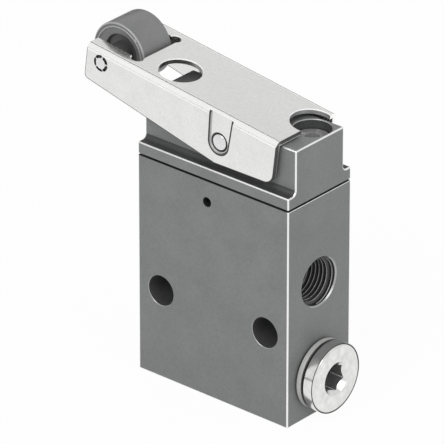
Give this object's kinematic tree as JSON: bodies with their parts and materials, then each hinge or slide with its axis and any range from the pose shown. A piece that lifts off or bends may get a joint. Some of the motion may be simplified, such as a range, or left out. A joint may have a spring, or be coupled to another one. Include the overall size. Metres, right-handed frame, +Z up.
{
  "type": "roller lever air valve",
  "caption": "Mechanically operated pneumatic valve: a ported block under an actuator head, with a stamped lever that carries a roller and presses a stem, and a poppet cartridge inside.",
  "frame": {"origin": "centre of the valve body's underside", "axes": "+Z up through the head, the lever reaches out to -X, the plugged port faces +X, the vent looks along -Y"},
  "size_m": [0.0573, 0.018, 0.0677],
  "materials": {
    "actuator_head": "dark grey anodised, fine matt",
    "cage_sleeve": "turned brass",
    "guide_bush": "turned brass",
    "guide_bush_seal": "black moulded rubber",
    "head_gasket": "black moulded rubber",
    "head_screw_left": "black oxide steel",
    "head_screw_right": "black oxide steel",
    "lower_poppet": "turned brass",
    "lower_poppet_seal": "black moulded rubber",
    "lower_seat_oring": "black moulded rubber",
    "lower_seat_ring": "turned brass",
    "pilot_disc": "turned brass",
    "pilot_spring": "turned steel",
    "pilot_spring_seat": "turned brass",
    "piston": "turned aluminium",
    "piston_seal": "black moulded rubber",
    "pivot_pin": "turned steel",
    "plug_sealing_ring": "bright nickel plating",
    "port_plug": "bright nickel plating",
    "return_spring": "turned steel",
    "roller": "dark grey moulded plastic",
    "roller_lever": "stamped sheet, nickel plated, satin",
    "roller_pin": "turned steel",
    "stem": "turned steel",
    "stem_seal": "black moulded rubber",
    "upper_poppet_seal": "black moulded rubber",
    "upper_seat_oring": "black moulded rubber",
    "upper_seat_ring": "turned brass",
    "valve_body": "dark grey anodised, fine matt",
    "valve_spindle": "turned steel"
  },
  "bodies": {
    "housing": {"actuator_head": "actuator_head", "cage_sleeve": "cage_sleeve", "guide_bush": "guide_bush", "guide_bush_seal": "guide_bush_seal", "head_gasket": "head_gasket", "head_screw_left": "head_screw_left", "head_screw_right": "head_screw_right", "lower_seat_oring": "lower_seat_oring", "lower_seat_ring": "lower_seat_ring", "pilot_spring": "pilot_spring", "pilot_spring_seat": "pilot_spring_seat", "plug_sealing_ring": "plug_sealing_ring", "port_plug": "port_plug", "return_spring": "return_spring", "stem_seal": "stem_seal", "upper_seat_oring": "upper_seat_oring", "upper_seat_ring": "upper_seat_ring", "valve_body": "valve_body"},
    "lever": {"roller_lever": "roller_lever", "roller_pin": "roller_pin", "pivot_pin": "pivot_pin"},
    "roller_body": {"roller": "roller"},
    "stem_body": {"stem": "stem", "pilot_disc": "pilot_disc"},
    "spindle": {"valve_spindle": "valve_spindle", "upper_poppet_seal": "upper_poppet_seal", "lower_poppet": "lower_poppet", "lower_poppet_seal": "lower_poppet_seal", "piston": "piston", "piston_seal": "piston_seal"}
  },
  "joints": [
    {"name": "lever_hinge", "type": "hinge", "parent": "housing", "child": "lever", "pos_m": [0.00111, 0, 0.05421], "axis": [0, -1, 0], "range_deg": [0, 10], "stiffness_Nm_per_rad": 0.2, "springref_deg": -5.73},
    {"name": "roller_spin", "type": "hinge", "parent": "lever", "child": "roller_body", "pos_m": [-0.02803, 0, 0.06135], "axis": [0, 1, 0], "continuous": true},
    {"name": "stem_slide", "type": "slide", "parent": "housing", "child": "stem_body", "axis": [0, 0, -1], "range_m": [0, 0.0014], "deforming": ["pilot_spring"]},
    {"name": "spindle_slide", "type": "slide", "parent": "housing", "child": "spindle", "axis": [0, 0, -1], "range_m": [0, 0.0012], "stiffness_N_per_m": 500, "springref_m": -0.004, "deforming": ["return_spring"]}
  ],
  "couplings": [
    {"joint": "stem_slide", "follows": "lever_hinge", "m_per_rad": 0.0078}
  ]
}
